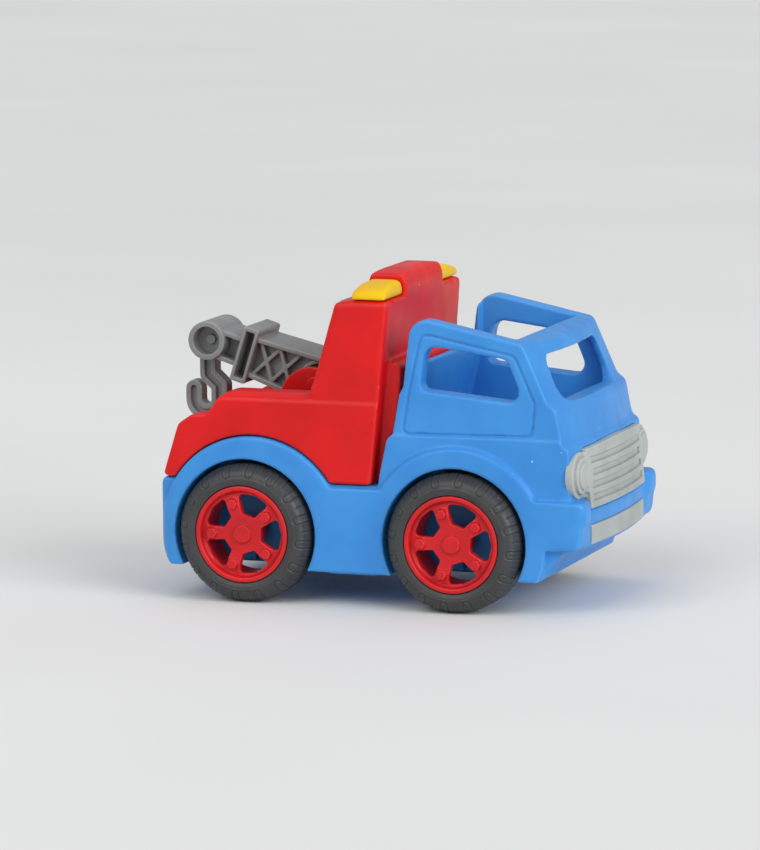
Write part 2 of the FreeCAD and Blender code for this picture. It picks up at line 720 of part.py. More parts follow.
def make_boom():
    """Head, neck, square collar and lattice beam in one moulding, laid along its own X axis."""
    root = 12.6
    beam = [(COLLAR[1] - 2, -10.2), (0, -root), (0, root), (COLLAR[1] - 2, 10.2)]
    window = [(COLLAR[1], -7.9, 1), (0, -root + 2.5), (0, root - 2.5), (COLLAR[1], 7.9, 1)]
    neck = [(HEAD_X, -7.6), (COLLAR[0] + 1, -7.6), (COLLAR[0] + 1, 7.6), (HEAD_X, 7.6)]
    neck_room = [
        (HEAD_X, -5.2), (COLLAR[0], -5.2, 1), (COLLAR[0], 5.2, 1), (HEAD_X, 5.2),
    ]
    mid = (COLLAR[0] + COLLAR[1]) / 2
    collar = [
        (COLLAR[0], -14.2, 1.2), (COLLAR[1], -14.2, 1.2), (COLLAR[1], 14.2, 1.2),
        (COLLAR[0], 14.2, 1.2),
    ]
    slot = [(mid - 2.4, -12, 0.6), (mid + 2.4, -12, 0.6), (mid + 2.4, 12, 0.6), (mid - 2.4, 12, 0.6)]
    blocks = fuse(
        "boom_blocks",
        pad("boom_beam", SIDE, [beam], "28"),
        rod("boom_root", str(root), "0", "0", both("14")),
        pad("boom_neck", SIDE, [neck], "26"),
        pad("boom_collar", SIDE, [collar], "31"),
        rod("boom_head", "9.7", str(HEAD_X), "0", both("head_half")),
        rod("boom_boss", "6", "0", "0", both("cheek_inside - 0.2")),
    )
    rooms = pad("beam_window", SIDE, [window], "40")
    rooms_round = rod("beam_window_round", str(root - 2.5), "0", "0", both("20"))
    ribs = fuse("ribs", *lattice())
    hub = rod("boom_hub", "6", "0", "0", both("20"))
    arc_outer = rod("boom_arc_outer", "11", "0", "0", both("12"))
    arc_inner = rod("boom_arc_inner", "9", "0", "0", both("13"))
    keep = fuse("window_keep", ribs, hub, cut("boom_arc", arc_outer, arc_inner))
    web = box("boom_web", ("-40", "20"), both("8"), ("-20", "20"))
    window_tool = cut("window_tool_full", fuse("rooms", rooms, rooms_round), keep, web)
    neck_web = box("neck_web", ("-80", "-40"), both("5.4"), ("-10", "10"))
    neck_tool = cut(
        "neck_tool",
        pad("neck_room", SIDE, [neck_room], "40"),
        neck_web,
        rod("head_keep", "9.7", str(HEAD_X), "0", both("25")),
    )
    slots = cut(
        "slot_tool",
        pad("collar_slot", SIDE, [slot], "60"),
        box("slot_web", ("-60", "-30"), both("4"), ("-20", "20")),
    )
    cups = pair("cup", lambda name, span: rod(name, "7", str(HEAD_X), "0", span), "6.9", "20")
    eye_gap = rod("eye_gap", "7", str(HEAD_X), "0", both("4.3"))
    mouth = box("eye_mouth", (str(HEAD_X - 12), str(HEAD_X + 4.5)), both("4.3"), ("-16", "2.5"))
    throat = box("eye_throat", (str(HEAD_X), str(HEAD_X + 9.5)), both("4.3"), ("-16", "-4.5"))
    bores = [
        rod("boom_bore", "boom_pin_radius + running_gap", "0", "0", both("30")),
        rod("hook_pin_bore", "hook_pin_radius", str(HEAD_X), "0", both("8.4")),
    ]
    boom = cut(
        "boom", blocks, window_tool, neck_tool, slots, *cups, eye_gap, mouth, throat, *bores
    )
    boom.Placement.Rotation = FreeCAD.Rotation(FreeCAD.Vector(0, 1, 0), size("boom_angle"))
    bind(boom, "Placement.Base.x", "pivot_x")
    bind(boom, "Placement.Base.z", "pivot_z")
    return boom


def head_centre():
    """The boom head's axis in the truck's frame."""
    angle = math.radians(size("boom_angle"))
    return (
        size("pivot_x") - size("boom_length") * math.cos(angle),
        size("pivot_z") + size("boom_length") * math.sin(angle),
    )


def hook_path():
    """Centre line of the hook, from its eye round to its tip."""
    x, z = head_centre()
    shank, heel, tip = x - 3.7, x + 2.25, x - 11.35
    bend = 91.6
    reach = (heel - tip) / 2
    points = [(x, z), (shank, 112.5), (shank, 104.0), (heel, 98.6), (heel, bend)]
    path = [
        Part.LineSegment(FreeCAD.Vector(a[0], a[1], 0), FreeCAD.Vector(b[0], b[1], 0)).toShape()
        for a, b in zip(points, points[1:])
    ]
    path.append(
        Part.Arc(
            FreeCAD.Vector(heel, bend, 0),
            FreeCAD.Vector((heel + tip) / 2, bend - reach, 0),
            FreeCAD.Vector(tip, bend, 0),
        ).toShape()
    )
    path.append(
        Part.LineSegment(FreeCAD.Vector(tip, bend, 0), FreeCAD.Vector(tip, 96.7, 0)).toShape()
    )
    return Part.Wire(path)


def slab(wire, low, high):
    """A flat outline stood upright and given thickness between two distances across the truck."""
    face = Part.Face(wire)
    face.rotate(FreeCAD.Vector(0, 0, 0), FreeCAD.Vector(1, 0, 0), 90)
    face.translate(FreeCAD.Vector(0, low, 0))
    return face.extrude(FreeCAD.Vector(0, high - low, 0))


def make_hook():
    """J-shaped hook of channel section: a web with raised rims, and an eye round its pin."""
    half, stroke = size("hook_half"), size("hook_stroke")
    path = hook_path()
    outer = path.makeOffset2D(stroke)
    trough = path.makeOffset2D(stroke - 2.6)
    blank = doc.addObject("Part::Feature", "hook_blank")
    blank.Shape = slab(outer, -half, half)
    troughs = doc.addObject("Part::Feature", "hook_troughs")
    troughs.Shape = Part.makeCompound([slab(trough, 1.4, half + 1), slab(trough, -half - 1, -1.4)])
    x, z = (str(value) for value in head_centre())
    eye = rod("hook_eye", "6.2", x, z, both("hook_half"))
    bore = rod("hook_bore", "hook_pin_radius + running_gap", x, z, both("10"))
    return cut("hook", fuse("hook_rimmed", cut("hook_channel", blank, troughs), eye), bore)


# ---------------------------------------------------------------- wheels


def ring_body(name, outline):
    """A body turned about the Y axis from an outline of (radius, y) points."""
    sketch = doc.addObject("Sketcher::SketchObject", name + "_sketch")
    for edge in edges(outline):
        sketch.addGeometry(edge)
    turn = doc.addObject("Part::Revolution", name)
    turn.Source = sketch
    turn.Axis = FreeCAD.Vector(0, 1, 0)
    turn.Base = FreeCAD.Vector(0, 0, 0)
    turn.Angle = 360
    turn.Solid = True
    return turn


def stand_wheel(thing, end, side):
    """Carry a wheel part from the Y axis to its axle; the left side is turned round."""
    if side == "right":
        thing.Placement.Rotation = FreeCAD.Rotation(FreeCAD.Vector(0, 0, 1), 180)
    bind(thing, "Placement.Base.x", end + "_axle_x")
    bind(thing, "Placement.Base.z", "tyre_radius")
    return thing


def make_rim(end, side):
    """Five-spoke rim: barrel, dished face with five windows, bolt heads and hub."""
    name = "rim_%s_%s" % (end, side)
    outer, seat, face = size("rim_radius"), size("tyre_seat"), size("track_half")
    profile = [
        (0, face - 7.5), (16, face - 5.8), (20.2, face - 6.5), (20.4, face - 23), (seat, face - 23),
        (seat, face - 3), (outer, face - 2.2, 0.6), (outer, face - 0.6, 0.5),
        (outer - 2.2, face - 0.6, 0.5), (outer - 3.2, face - 3.5, 0.6), (14, face - 1.8, 1),
        (6, face - 3.2), (0, face - 3.2),
    ]
    blank = ring_body(name + "_blank", profile)
    hub = rod(name + "_hub", "6.2", "0", "0", ("track_half - 22", "track_half - 3.5"))
    cap = rod(name + "_cap", "4.4", "0", "0", ("track_half - 4", "track_half - 1.6"))
    window = [(9.5, -3.2, 1.2), (18.2, -8.4, 1.8), (20.2, 0, 6), (18.2, 8.4, 1.8), (9.5, 3.2, 1.2)]
    windows, bolts = [], []
    for i in range(5):
        opening = pad("%s_window_%d" % (name, i), SIDE, [window], "40", "-track_half")
        opening.Placement.Rotation = FreeCAD.Rotation(FreeCAD.Vector(0, 1, 0), 36 + 72 * i)
        windows.append(opening)
        bolt = doc.addObject("Part::Prism", "%s_bolt_%d" % (name, i))
        bolt.Polygon = 6
        bolt.Circumradius = 2.7
        bolt.Height = 4
        angle = math.radians(72 * i)
        bolt.Placement = FreeCAD.Placement(
            FreeCAD.Vector(15.6 * math.cos(angle), face - 4.2, -15.6 * math.sin(angle)),
            FreeCAD.Rotation(FreeCAD.Vector(1, 0, 0), -90),
        )
        bolts.append(bolt)
    bore = rod(name + "_bore", "axle_radius", "0", "0", ("0", "axle_half"))
    rim = cut(name, fuse(name + "_solid", cut(name + "_disc", blank, *windows), hub, cap, *bolts), bore)
    return stand_wheel(rim, end, side)


def make_tyre(end, side):
    """Soft tyre with rounded shoulders, pressed over the rim's barrel."""
    name = "tyre_%s_%s" % (end, side)
    radius, seat, face = size("tyre_radius"), size("tyre_seat"), size("track_half")
    inner = face - size("tyre_width")
    profile = [
        (seat, inner + 1.5), (seat + 3, inner, 1), (radius - 2, inner + 0.6, 3.5),
        (radius, inner + 6, 2), (radius, face - 7, 3), (radius - 2.6, face - 0.9, 4),
        (size("rim_radius") + 2.4, face, 1), (size("rim_radius") + 0.05, face - 1.6, 0.4),
        (size("rim_radius") + 0.05, face - 2.6), (seat, face - 3.3),
    ]
    return stand_wheel(ring_body(name, profile), end, side)


def make_axle(end):
    """Steel rod through both bearings into the two rims."""
    return rod("axle_" + end, "axle_radius", end + "_axle_x", "tyre_radius", both("axle_half"))


# ---------------------------------------------------------------- the whole truck

x_head, z_head = (str(value) for value in head_centre())
nodes = [
    make_cab_body(),
    make_base_plate(),
    make_rear_body(),
    make_boom_bracket(),
    make_beacon("beacon_left", 1),
    make_beacon("beacon_right", -1),
    make_grille(),
    make_bumper_plate(),
    make_boom(),
    make_hook(),
    rod("boom_pin", "boom_pin_radius", "pivot_x", "pivot_z", both("cheek_inside + cheek_thick + 1")),
    rod("hook_pin", "hook_pin_radius", x_head, z_head, both("8.4")),
    make_screws("base_screws", BASE_SCREWS, "base_bottom", "34"),
    make_screws("body_screws", BODY_SCREWS, "deck_top - wall - 1.5", "64"),
    make_screws("bracket_screws", BRACKET_SCREWS, "62", "68.5"),
]
for end in ("rear", "front"):
    nodes.append(make_axle(end))
    for side in ("left", "right"):
        nodes.append(make_rim(end, side))
        nodes.append(make_tyre(end, side))

doc.recompute()
for thing in doc.Objects:
    if "Invalid" in thing.State or "Error" in thing.State:
        raise RuntimeError("%s failed: %s" % (thing.Name, thing.State))
os.makedirs("parts", exist_ok=True)
for node in nodes:
    shape = node.Shape
    if shape.isNull() or not shape.isValid():
        raise RuntimeError("%s has no valid shape" % node.Label)
    print("%-18s %9.1f mm3  %d solids" % (node.Label, shape.Volume, len(shape.Solids)))
    shape.exportStep("parts/%s.step" % node.Label)
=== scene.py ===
import math

import bmesh
import bpy
import numpy as np
from mathutils import Matrix, Vector


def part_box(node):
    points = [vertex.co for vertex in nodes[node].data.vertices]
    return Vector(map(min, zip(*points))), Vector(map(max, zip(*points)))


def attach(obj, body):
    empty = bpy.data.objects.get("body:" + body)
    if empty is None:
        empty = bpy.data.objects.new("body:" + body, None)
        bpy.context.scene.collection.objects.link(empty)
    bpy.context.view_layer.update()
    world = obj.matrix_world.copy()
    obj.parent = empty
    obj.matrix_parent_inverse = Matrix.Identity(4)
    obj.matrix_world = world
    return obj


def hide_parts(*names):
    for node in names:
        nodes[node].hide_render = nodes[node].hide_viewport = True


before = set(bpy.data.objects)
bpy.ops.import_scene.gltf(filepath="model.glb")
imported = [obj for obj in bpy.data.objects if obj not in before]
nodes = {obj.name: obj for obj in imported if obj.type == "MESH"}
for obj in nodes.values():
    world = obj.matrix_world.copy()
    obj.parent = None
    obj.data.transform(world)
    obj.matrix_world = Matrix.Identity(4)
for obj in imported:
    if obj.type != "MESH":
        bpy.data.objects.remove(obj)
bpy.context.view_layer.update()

# Toy tow truck in soft moulded plastic. Every shell is the CAD solid's surface, remeshed and
# softened as a moulding is, then given its grooves and rims. The tyres and the pin covers are
# turned here. Lengths are in mm unless they go straight to Blender.

MM = 0.001


# ---------------------------------------------------------------- materials


def linear(code):
    """A linear RGBA colour from an sRGB hex code."""
    channels = [int(code[i:i + 2], 16) / 255 for i in (0, 2, 4)]
    curve = [c / 12.92 if c <= 0.04045 else ((c + 0.055) / 1.055) ** 2.4 for c in channels]
    return (*curve, 1.0)


class Tree:
    """Short calls for making one material's nodes."""

    def __init__(self, name):
        self.material = bpy.data.materials.new(name)
        self.material.use_nodes = True
        self.nodes = self.material.node_tree.nodes
        self.links = self.material.node_tree.links
        self.shader = self.nodes["Principled BSDF"]
        self.place = self.nodes.new("ShaderNodeTexCoord").outputs["Object"]

    def link(self, source, target):
        self.links.new(source, target)

    def noise(self, size_mm, detail=3.0, stretch=None):
        """Noise whose features are about size_mm across, optionally squeezed along an axis."""
        texture = self.nodes.new("ShaderNodeTexNoise")
        texture.inputs["Scale"].default_value = 1 / (size_mm * MM)
        texture.inputs["Detail"].default_value = detail
        source = self.place
        if stretch:
            mapping = self.nodes.new("ShaderNodeMapping")
            mapping.inputs["Scale"].default_value = stretch
            self.link(source, mapping.inputs["Vector"])
            source = mapping.outputs["Vector"]
        self.link(source, texture.inputs["Vector"])
        return texture.outputs["Fac"]

    def cells(self, size_mm):
        """Distance to the nearest of points scattered about size_mm apart."""
        texture = self.nodes.new("ShaderNodeTexVoronoi")
        texture.inputs["Scale"].default_value = 1 / (size_mm * MM)
        self.link(self.place, texture.inputs["Vector"])
        return texture.outputs["Distance"]

    def attribute(self, name):
        node = self.nodes.new("ShaderNodeAttribute")
        node.attribute_name = name
        return node.outputs["Fac"]

    def ramp(self, source, low, high, a=0.0, b=1.0):
        """Map source from low..high to a..b, clamped."""
        node = self.nodes.new("ShaderNodeMapRange")
        node.inputs["From Min"].default_value = low
        node.inputs["From Max"].default_value = high
        node.inputs["To Min"].default_value = a
        node.inputs["To Max"].default_value = b
        self.link(source, node.inputs["Value"])
        return node.outputs["Result"]

    def mix(self, factor, a, b):
        """Blend colours a and b, each a socket or an RGBA value."""
        node = self.nodes.new("ShaderNodeMix")
        node.data_type = "RGBA"
        self.link(factor, node.inputs["Factor"])
        for value, socket in ((a, node.inputs[6]), (b, node.inputs[7])):
            if isinstance(value, tuple):
                socket.default_value = value
            else:
                self.link(value, socket)
        return node.outputs[2]

    def bump(self, height, depth_mm, strength=1.0, under=None):
        node = self.nodes.new("ShaderNodeBump")
        node.inputs["Strength"].default_value = strength
        node.inputs["Distance"].default_value = depth_mm * MM
        self.link(height, node.inputs["Height"])
        if under:
            self.link(under, node.inputs["Normal"])
        return node.outputs["Normal"]


def moulded_plastic(name, body, edge_highlight, deep, roughness, gloss=0.32, glow=0.06):
    """Satin polyethylene: cloudy colour, painted highlights on convex edges, painted shade in
    creases, spark-eroded grain and a few specks.
    """
    tree = Tree(name)
    cloud = tree.ramp(tree.noise(26, 2), 0.35, 0.68, 0, 0.35)
    colour = tree.mix(cloud, linear(body), linear(deep))
    # Painted shade: concave creases and recesses darken towards the deep colour.
    crease = tree.ramp(tree.attribute("crease"), 0.04, 0.6, 0, 0.75)
    colour = tree.mix(crease, colour, linear(deep))
    # Painted highlight: convex edges turn pale, as if catching the light.
    edge = tree.ramp(tree.attribute("edge"), 0.08, 0.9, 0, 0.5)
    colour = tree.mix(edge, colour, linear(edge_highlight))
    speck = tree.ramp(tree.cells(19), 0.012, 0.03, 0.7, 0)
    colour = tree.mix(speck, colour, linear("F4EFEA"))
    tree.link(colour, tree.shader.inputs["Base Color"])
    smear = tree.noise(9, 5, (1, 1, 0.35))
    rough = tree.ramp(smear, 0.3, 0.75, roughness - 0.06, roughness + 0.07)
    tree.link(rough, tree.shader.inputs["Roughness"])
    sink = tree.bump(tree.noise(14, 1), 0.12, 0.5)
    scuff = tree.bump(tree.noise(1.6, 4, (0.25, 1, 1)), 0.012, 0.5, sink)
    grain = tree.bump(tree.noise(0.42, 2), 0.010, 0.55, scuff)
    tree.link(grain, tree.shader.inputs["Normal"])
    tree.shader.inputs["Specular IOR Level"].default_value = gloss
    tree.shader.inputs["IOR"].default_value = 1.51
    tree.shader.inputs["Subsurface Weight"].default_value = glow
    tree.shader.inputs["Subsurface Radius"].default_value = (1.0, 0.6, 0.5)
    tree.shader.inputs["Subsurface Scale"].default_value = 1.5 * MM
    return tree.material


def tyre_rubber():
    """Black soft plastic, paler on what stands proud: partly dust, partly painted highlight."""
    tree = Tree("tyre_black")
    cloud = tree.ramp(tree.noise(11, 4), 0.35, 0.7, 0, 0.5)
    colour = tree.mix(cloud, linear("333435"), linear("424344"))
    # Partly dust, partly painted highlight: proud edges turn paler.
    dust_and_highlight = tree.ramp(tree.attribute("edge"), 0.1, 0.9, 0, 0.5)
    colour = tree.mix(dust_and_highlight, colour, linear("5B5A57"))
    lint = tree.ramp(tree.cells(13), 0.010, 0.026, 0.6, 0)
    colour = tree.mix(lint, colour, linear("B9B2A8"))
    tree.link(colour, tree.shader.inputs["Base Color"])
    sheen = tree.ramp(tree.noise(5, 4), 0.3, 0.72, 0.40, 0.56)
    tree.link(sheen, tree.shader.inputs["Roughness"])
    skin = tree.bump(tree.noise(2.2, 4), 0.05, 0.6)
    grain = tree.bump(tree.noise(0.35, 2), 0.014, 0.6, skin)
    tree.link(grain, tree.shader.inputs["Normal"])
    tree.shader.inputs["Specular IOR Level"].default_value = 0.5
    return tree.material


def bright_steel():
    """Drawn steel wire and screw heads, lightly brushed."""
    tree = Tree("steel")
    stain = tree.ramp(tree.noise(4, 4), 0.35, 0.7, 0, 0.6)
    colour = tree.mix(stain, linear("C9CBCD"), linear("8E9092"))
    tree.link(colour, tree.shader.inputs["Base Color"])
    tree.shader.inputs["Metallic"].default_value = 1.0
    rough = tree.ramp(tree.noise(1.2, 3), 0.3, 0.7, 0.26, 0.42)
    tree.link(rough, tree.shader.inputs["Roughness"])
    tree.link(tree.bump(tree.noise(0.3, 2, (1, 0.1, 1)), 0.006), tree.shader.inputs["Normal"])
    return tree.material


def paper_floor():
    """Pale matte studio paper."""
    tree = Tree("studio_floor")
    cloud = tree.ramp(tree.noise(420, 2), 0.3, 0.7, 0, 1)
    colour = tree.mix(cloud, linear("E9E9E8"), linear("E4E4E3"))
    tree.link(colour, tree.shader.inputs["Base Color"])
    tree.shader.inputs["Roughness"].default_value = 0.9
    tree.shader.inputs["Specular IOR Level"].default_value = 0.15
    return tree.material


# Each plastic: base colour, pale edge colour for the painted highlight, darker colour for the cloud
# and the painted crease shade, roughness and gloss.
finishes = {
    "blue_plastic": moulded_plastic("blue_plastic", "3E93DC", "86C2F0", "2570C4", 0.40),
    "red_plastic": moulded_plastic("red_plastic", "DC1416", "EE4C42", "AC0B0E", 0.38, 0.26),
    "rim_red": moulded_plastic("rim_red", "D01820", "EC4E48", "900C12", 0.34),
    "yellow_plastic": moulded_plastic("yellow_plastic", "EDC000", "F6D63A", "DE9A00", 0.40, 0.22),
    "boom_grey": moulded_plastic("boom_grey", "878A8A", "C2C4C4", "616466", 0.40),
    "trim_grey": moulded_plastic("trim_grey", "ADB2AF", "D2D5D2", "767C79", 0.45),
    "tyre_black": tyre_rubber(),
    "steel": bright_steel(),
}


# ---------------------------------------------------------------- mesh work


def mesh_piece(name, mesh, body, slot, *stands_for):
    """Put a finished mesh into the scene on its CAD body, with its slot's finish."""
    mesh.materials.clear()
    mesh.materials.append(finishes[slot])
    mesh.polygons.foreach_set("use_smooth", [True] * len(mesh.polygons))
    piece = bpy.data.objects.new(name, mesh)
    bpy.context.scene.collection.objects.link(piece)
    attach(piece, body)
    if stands_for:
        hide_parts(*stands_for)
    return piece


def modified(mesh, kind, **settings):
    """The mesh after one modifier."""
    holder = bpy.data.objects.new("working", mesh)
    bpy.context.scene.collection.objects.link(holder)
    modifier = holder.modifiers.new("step", kind)
    for key, value in settings.items():
        setattr(modifier, key, value)
    graph = bpy.context.evaluated_depsgraph_get()
    result = bpy.data.meshes.new_from_object(holder.evaluated_get(graph))
    bpy.data.objects.remove(holder)
    bpy.data.meshes.remove(mesh)
    return result


def welded(node):
    """A closed copy of a CAD node's surface."""
    work = bmesh.new()
    work.from_mesh(nodes[node].data)
    bmesh.ops.remove_doubles(work, verts=work.verts, dist=0.002 * MM)
    mesh = bpy.data.meshes.new(node + "_skin")
    work.to_mesh(mesh)
    work.free()
    return mesh


def points_of(mesh):
    points = np.empty(len(mesh.vertices) * 3)
    mesh.vertices.foreach_get("co", points)
    return points.reshape(-1, 3)


def edges_of(mesh):
    ends = np.empty(len(mesh.edges) * 2, dtype=np.int32)
    mesh.edges.foreach_get("vertices", ends)
    return ends.reshape(-1, 2)


def normals_of(mesh):
    normals = np.empty(len(mesh.vertices) * 3)
    mesh.vertex_normals.foreach_get("vector", normals)
    return normals.reshape(-1, 3)


def neighbour_mean(values, ends, count):
    """The mean of each vertex's neighbours, for one or more columns."""
    degree = np.bincount(ends.ravel(), minlength=count)
    mean = np.empty_like(values)
    for column in range(values.shape[1]):
        total = np.bincount(ends[:, 0], values[ends[:, 1], column], count)
        total += np.bincount(ends[:, 1], values[ends[:, 0], column], count)
        mean[:, column] = total / np.maximum(degree, 1)
    return mean


def soft(passes):
    return max(1, round(passes / (1)))


def relax(points, ends, passes, share=0.5):
    """Round the edges: each vertex moves towards its neighbours, share may vary by vertex."""
    weight = share if np.isscalar(share) else share[:, None]
    for _ in range(passes):
        points += weight * (neighbour_mean(points, ends, len(points)) - points)
    return points


def mark_edges(mesh, reach):
    """Store how sharply the surface bends out (edge) and in (crease), both from 0 to 1; the
    materials use them for painted highlights on edges and painted shade in creases.
    """
    points, ends, normals = points_of(mesh), edges_of(mesh), normals_of(mesh)
    inward = points - neighbour_mean(points, ends, len(points))
    span = np.linalg.norm(points[ends[:, 0]] - points[ends[:, 1]], axis=1)
    local = np.bincount(ends[:, 0], span, len(points)) + np.bincount(ends[:, 1], span, len(points))
    local /= np.maximum(np.bincount(ends.ravel(), minlength=len(points)), 1)
    bend = np.einsum("ij,ij->i", inward, normals) / np.maximum(local, 1e-9) ** 2 * reach
    bend = bend[:, None]
    for _ in range(4):
        bend = 0.5 * bend + 0.5 * neighbour_mean(bend, ends, len(points))
    for name, values in (("edge", bend), ("crease", -bend)):
        attribute = mesh.attributes.new(name, "FLOAT", "POINT")
        attribute.data.foreach_set("value", np.clip(values[:, 0], 0, 1).astype(np.float32))


def skin(node, body, slot, voxel, passes, faces, shape=None, reach=1.2):
    """The moulded version of one CAD node: remeshed, softened, shaped, then thinned out."""
    grain = voxel * MM * 1
    mesh = modified(welded(node), "REMESH", mode="VOXEL", voxel_size=grain, adaptivity=0)
    points, ends = points_of(mesh), edges_of(mesh)
    relax(points, ends, soft(passes))
    if shape:
        mesh.vertices.foreach_set("co", points.ravel())
        mesh.update()
        points = shape(points, ends, normals_of(mesh))
    mesh.vertices.foreach_set("co", points.ravel())
    mesh.update()
    triangles = 2 * len(mesh.polygons)
    if triangles > faces:
        mesh = modified(mesh, "DECIMATE", decimate_type="COLLAPSE", ratio=faces / triangles)
    mark_edges(mesh, reach * MM)
    return mesh_piece(node + "_skin", mesh, body, slot, node)


def to_loop(points, loop):
    """Distance of each point, in a plane, from the closed line through the loop's points."""
    nearest = np.full(len(points), np.inf)
    for i in range(len(loop)):
        start = np.array(loop[i])
        leg = np.array(loop[(i + 1) % len(loop)]) - start
        along = np.clip((points - start) @ leg / (leg @ leg), 0, 1)
        gap = np.linalg.norm(points - start - along[:, None] * leg, axis=1)
        nearest = np.minimum(nearest, gap)
    return nearest


def ridge(distance, height, width):
    """A smooth ridge along distance zero, or a groove where its height is negative."""
    return height * np.exp(-(distance / width) ** 2)


def faced_outwards(mesh):
    """The closed mesh with all its faces turned outwards."""
    work = bmesh.new()
    work.from_mesh(mesh)
    bmesh.ops.recalc_face_normals(work, faces=work.faces)
    work.to_mesh(mesh)
    work.free()
    return mesh


# ---------------------------------------------------------------- outlines


def rounded(corners, step=0.3):
    """Points about step mm apart round a closed outline of (a, b, corner radius) in mm."""
    count = len(corners)
    here = [Vector(corner[:2]) for corner in corners]
    bends = []
    for i in range(count):
        back, ahead = here[i - 1] - here[i], here[(i + 1) % count] - here[i]
        room = 0.48 * min(back.length, ahead.length)
        half = back.angle(ahead) / 2
        reach = min(corners[i][2] / math.tan(half), room)
        first, last = here[i] + back.normalized() * reach, here[i] + ahead.normalized() * reach
        bends.append((first, here[i], last))
    walk = []
    for i, (first, corner, last) in enumerate(bends):
        turns = max(2, round((last - first).length / step))
        for k in range(turns):
            t = k / turns
            walk.append(first.lerp(corner, t).lerp(corner.lerp(last, t), t))
        run = bends[(i + 1) % count][0] - last
        spans = max(1, round(run.length / step))
        walk += [last + run * k / spans for k in range(spans)]
    return walk


# ---------------------------------------------------------------- the blue and red mouldings

# Wing bands as (x, z, radius); doors and windows as outlines of (x, z, corner radius).
BANDS = ((-59.1, 35.2, 47.4), (46.8, 35.2, 46.0))
DOOR = [
    (18.9, 86.9, 3.5), (22.7, 108.5, 2), (28.9, 136.5, 5), (76.8, 126.9, 4), (86.8, 104, 4),
    (85.3, 87.9, 4),
]
WINDOW = [(28.2, 108.8, 3), (30.9, 130.5, 6), (72.5, 125, 5), (81, 103.9, 5)]
BUMPER_X, BUMPER_Z = 99, 60
GROOVE_DEPTH, GROOVE_WIDTH = 0.8, 0.55
LIP_RISE, LIP_WIDTH, LIP_PLACE = 0.10, 0.5, 1.35

# The grille's face: x at its foot, how it leans back with height, and how it bows.
GRILLE_HALF, GRILLE_X, GRILLE_FOOT = 43.5, 114.3, 52.2
GRILLE_LEAN, GRILLE_BOW = 0.0966, 660
LAMP_BACK, LAMP_OUT = 1.8, 1.5


def shape_cab(points, ends, normals):
    """Soften wings, window rims and bumper further, then cut the doors' grooves."""
    flat = points[:, [0, 2]] / MM
    wide = np.abs(points[:, 1]) / MM
    share = np.zeros(len(points))
    for x, z, radius in BANDS:
        out = np.linalg.norm(flat - np.array((x, z)), axis=1)
        share[(np.abs(out - radius) < 4) & (wide > 45) & (flat[:, 1] > 59)] = 0.5
    rim = to_loop(flat, rounded(WINDOW, 2))
    share[(rim < 3) & (wide > 50)] = 0.5
    share[(flat[:, 0] > BUMPER_X) & (flat[:, 1] < BUMPER_Z)] = 0.5
    relax(points, ends, soft(14), share)
    gap = to_loop(flat, rounded(DOOR, 2))
    outside = (np.abs(normals[:, 1]) > 0.75) & (wide > 54)
    cut = ridge(gap, GROOVE_DEPTH, GROOVE_WIDTH) - ridge(gap - LIP_PLACE, LIP_RISE, LIP_WIDTH)
    points[:, 1] -= np.sign(points[:, 1]) * np.where(outside, cut, 0) * MM
    return points


def shape_red(points, ends, normals):
    """Round the arch's legs far more than the other edges."""
    x, wide, z = points[:, 0] / MM, np.abs(points[:, 1]) / MM, points[:, 2] / MM
    share = np.where((x < 12) & (z > 109) & (z < 153) & (wide > 46), 0.5, 0.0)
    return relax(points, ends, soft(44), share)


def shape_grille(points, ends, normals):
    """Set the lamps back from the grille's own bowed and leaning face, and a little outwards."""
    x, side, z = points[:, 0] / MM, points[:, 1] / MM, points[:, 2] / MM
    face = GRILLE_X - GRILLE_LEAN * (z - GRILLE_FOOT) - side ** 2 / GRILLE_BOW
    lamp = np.abs(side) > GRILLE_HALF + 0.3
    x = np.where(lamp, x - LAMP_BACK, np.minimum(x, face + 0.05))
    side = side + np.where(lamp, LAMP_OUT * np.sign(side), 0)
    return relax(np.stack([x, side, z], axis=1) * MM, ends, soft(2))


skin("cab_body", "chassis", "blue_plastic", 0.6, 8, 190000, shape_cab)
skin("rear_body", "chassis", "red_plastic", 0.6, 14, 190000, shape_red, reach=2.2)
skin("boom_bracket", "chassis", "red_plastic", 0.4, 6, 60000)
skin("beacon_left", "chassis", "yellow_plastic", 0.35, 110, 30000)
skin("beacon_right", "chassis", "yellow_plastic", 0.35, 110, 30000)
skin("grille", "chassis", "trim_grey", 0.3, 4, 140000, shape_grille)
skin("bumper_plate", "chassis", "trim_grey", 0.3, 9, 40000)
skin("base_plate", "chassis", "blue_plastic", 0.6, 4, 80000)
skin("boom", "boom", "boom_grey", 0.3, 8, 160000, reach=1.2)
skin("hook", "hook", "boom_grey", 0.22, 9, 120000, reach=1.2)
for end in ("rear", "front"):
    for side in ("left", "right"):
        skin("rim_%s_%s" % (end, side), "wheelset_" + end, "rim_red", 0.35, 4, 90000)


# ---------------------------------------------------------------- tyres

LUGS = 16
LUG_PHASE = math.radians(15.5)
RIM_SEAT = 22.3
MARK_RADIUS, MARK_HALF = 30.4, 1.9


def tyre_section(low, high, radius, seat):
    """Closed section of a tyre as (y, r) points in mm, y outwards, finer on the outer shoulder."""
    corners = [
        (low + 1.5, seat, 0.3), (low + 0.2, seat + 3, 1.2), (low + 0.6, radius - 3.6, 3),
        (low + 5.5, radius - 0.1, 5), (high - 7, radius, 6), (high - 1.1, radius - 3.2, 5),
        (high, seat + 4.6, 1.5), (high - 1.0, seat + 2.1, 0.5), (high - 2.4, seat + 1.8, 0.3),
        (high - 3.3, seat, 0.3),
    ]
    fine = rounded(corners, 0.3)
    kept = []
    for point in fine:
        plain = point[1] < seat + 1 or point[0] < high - 12
        apart = 1.1 if plain else 0.0
        if not kept or (point - kept[-1]).length > apart:
            kept.append(point)
    return np.array([tuple(point) for point in kept])


